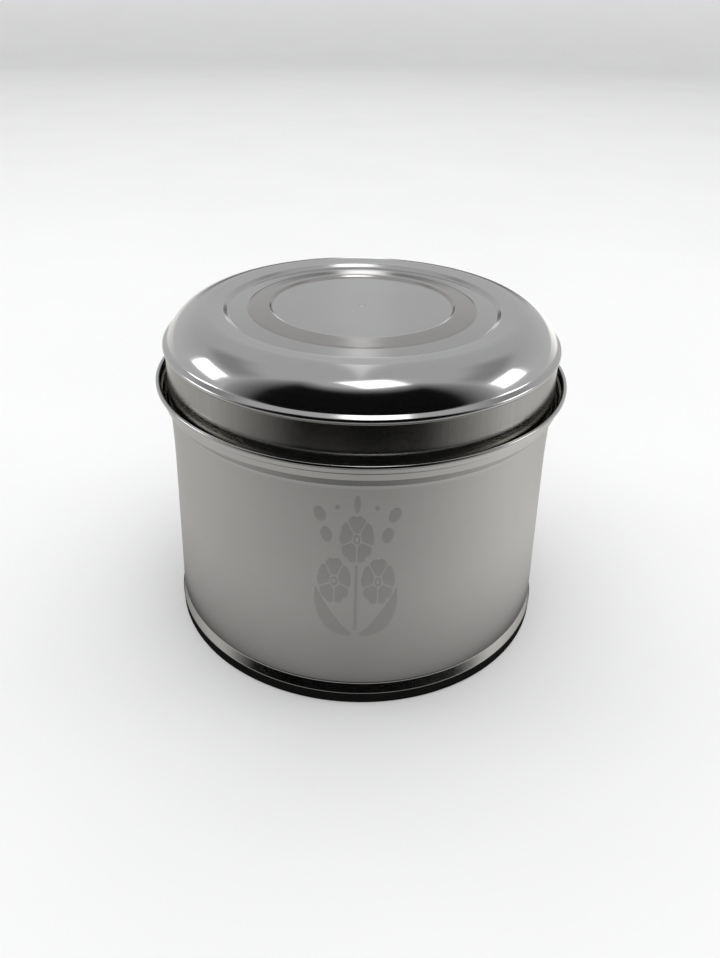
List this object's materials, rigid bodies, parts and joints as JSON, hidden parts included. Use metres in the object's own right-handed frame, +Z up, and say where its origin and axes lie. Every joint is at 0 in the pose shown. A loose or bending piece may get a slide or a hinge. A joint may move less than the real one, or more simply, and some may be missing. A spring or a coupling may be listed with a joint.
{
  "type": "spice box",
  "caption": "Deep round steel spice box: flared collar with rolled lip, domed drop-in lid, and inside it a plate with a knob, small bowls and a spoon.",
  "frame": {"origin": "on the floor, at the centre of the foot ring", "axes": "+Z up along the axis of the round canister; +X towards bowl_1; -Y towards the etched front"},
  "size_m": [0.1614, 0.1614, 0.1287],
  "materials": {
    "wall_steel": "satin",
    "lid_steel": "polished",
    "plate_steel": "satin",
    "knob_steel": "polished",
    "bowl_steel": "polished",
    "spoon_steel": "polished"
  },
  "bodies": {
    "canister": {"body_shell": "wall_steel", "base_pan": "wall_steel"},
    "lid": {"lid_shell": "lid_steel"},
    "plate": {"inner_plate": "plate_steel", "plate_knob": "knob_steel", "knob_rivet": "knob_steel"},
    "spoon": {"spice_spoon": "spoon_steel"},
    "bowl_middle": {"bowl_middle": "bowl_steel"},
    "bowl_1": {"bowl_1": "bowl_steel"},
    "bowl_2": {"bowl_2": "bowl_steel"},
    "bowl_3": {"bowl_3": "bowl_steel"},
    "bowl_4": {"bowl_4": "bowl_steel"},
    "bowl_5": {"bowl_5": "bowl_steel"},
    "bowl_6": {"bowl_6": "bowl_steel"}
  },
  "joints": [
    {"name": "lid_lift", "type": "slide", "parent": "canister", "child": "lid", "axis": [0, 0, 1], "range_m": [0, 0.3]},
    {"name": "plate_lift", "type": "slide", "parent": "canister", "child": "plate", "axis": [0, 0, 1], "range_m": [0, 0.186]},
    {"name": "spoon_lift", "type": "slide", "parent": "canister", "child": "spoon", "axis": [0, 0, 1], "range_m": [0, 0.225]},
    {"name": "bowl_middle_lift", "type": "slide", "parent": "canister", "child": "bowl_middle", "axis": [0, 0, 1], "range_m": [0, 0.126]},
    {"name": "bowl_1_lift", "type": "slide", "parent": "canister", "child": "bowl_1", "axis": [0, 0, 1], "range_m": [0, 0.126]},
    {"name": "bowl_2_lift", "type": "slide", "parent": "canister", "child": "bowl_2", "axis": [0, 0, 1], "range_m": [0, 0.126]},
    {"name": "bowl_3_lift", "type": "slide", "parent": "canister", "child": "bowl_3", "axis": [0, 0, 1], "range_m": [0, 0.126]},
    {"name": "bowl_4_lift", "type": "slide", "parent": "canister", "child": "bowl_4", "axis": [0, 0, 1], "range_m": [0, 0.126]},
    {"name": "bowl_5_lift", "type": "slide", "parent": "canister", "child": "bowl_5", "axis": [0, 0, 1], "range_m": [0, 0.126]},
    {"name": "bowl_6_lift", "type": "slide", "parent": "canister", "child": "bowl_6", "axis": [0, 0, 1], "range_m": [0, 0.126]}
  ],
  "couplings": [
    {"joint": "plate_lift", "follows": "lid_lift", "ratio": 0.62},
    {"joint": "spoon_lift", "follows": "lid_lift", "ratio": 0.75},
    {"joint": "bowl_middle_lift", "follows": "lid_lift", "ratio": 0.42},
    {"joint": "bowl_1_lift", "follows": "lid_lift", "ratio": 0.42},
    {"joint": "bowl_2_lift", "follows": "lid_lift", "ratio": 0.42},
    {"joint": "bowl_3_lift", "follows": "lid_lift", "ratio": 0.42},
    {"joint": "bowl_4_lift", "follows": "lid_lift", "ratio": 0.42},
    {"joint": "bowl_5_lift", "follows": "lid_lift", "ratio": 0.42},
    {"joint": "bowl_6_lift", "follows": "lid_lift", "ratio": 0.42}
  ]
}
